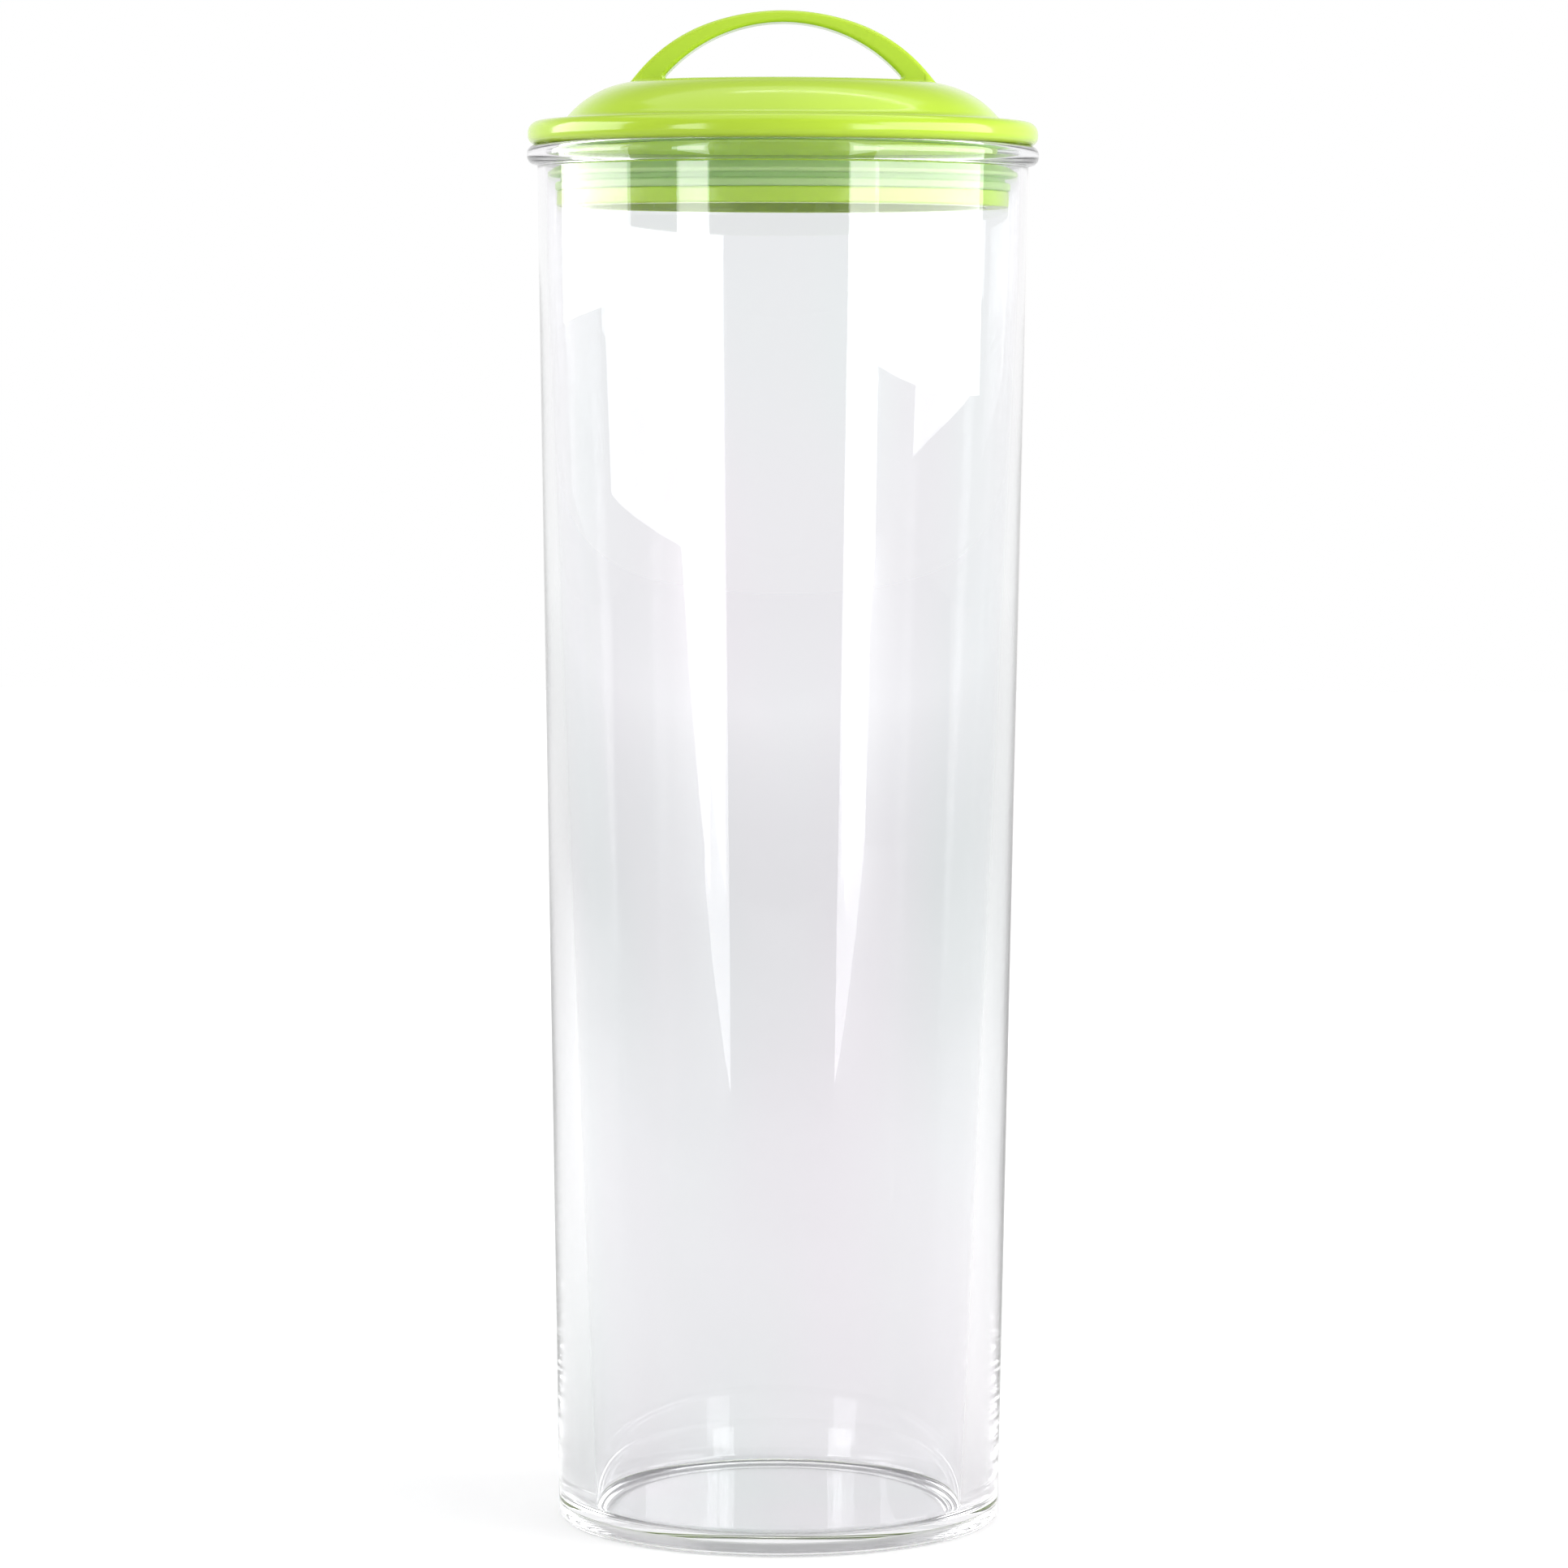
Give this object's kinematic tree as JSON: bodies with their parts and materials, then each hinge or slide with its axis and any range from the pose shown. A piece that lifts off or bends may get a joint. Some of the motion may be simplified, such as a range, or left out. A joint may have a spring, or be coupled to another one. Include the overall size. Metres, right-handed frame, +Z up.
{
  "type": "pasta canister",
  "caption": "Tall clear tapered canister for long pasta with a push-in lime lid: low dome, arched strap handle and a translucent sealing ring.",
  "frame": {"origin": "middle of the foot, on the surface that the canister stands on", "axes": "+Z up along the canister's axis, X along the strap handle, Y across it"},
  "size_m": [0.108, 0.108, 0.32],
  "materials": {
    "clear_wall": "clear, polished",
    "lime_cover": "glossy",
    "lime_plug": "glossy",
    "seal": "translucent, satin"
  },
  "bodies": {
    "canister": {"canister": "clear_wall"},
    "lid": {"lid_cover": "lime_cover", "lid_plug": "lime_plug", "seal_ring": "seal"}
  },
  "joints": [
    {"name": "lid_lift", "type": "slide", "parent": "canister", "child": "lid", "axis": [0, 0, 1], "range_m": [0, 0.1]}
  ]
}
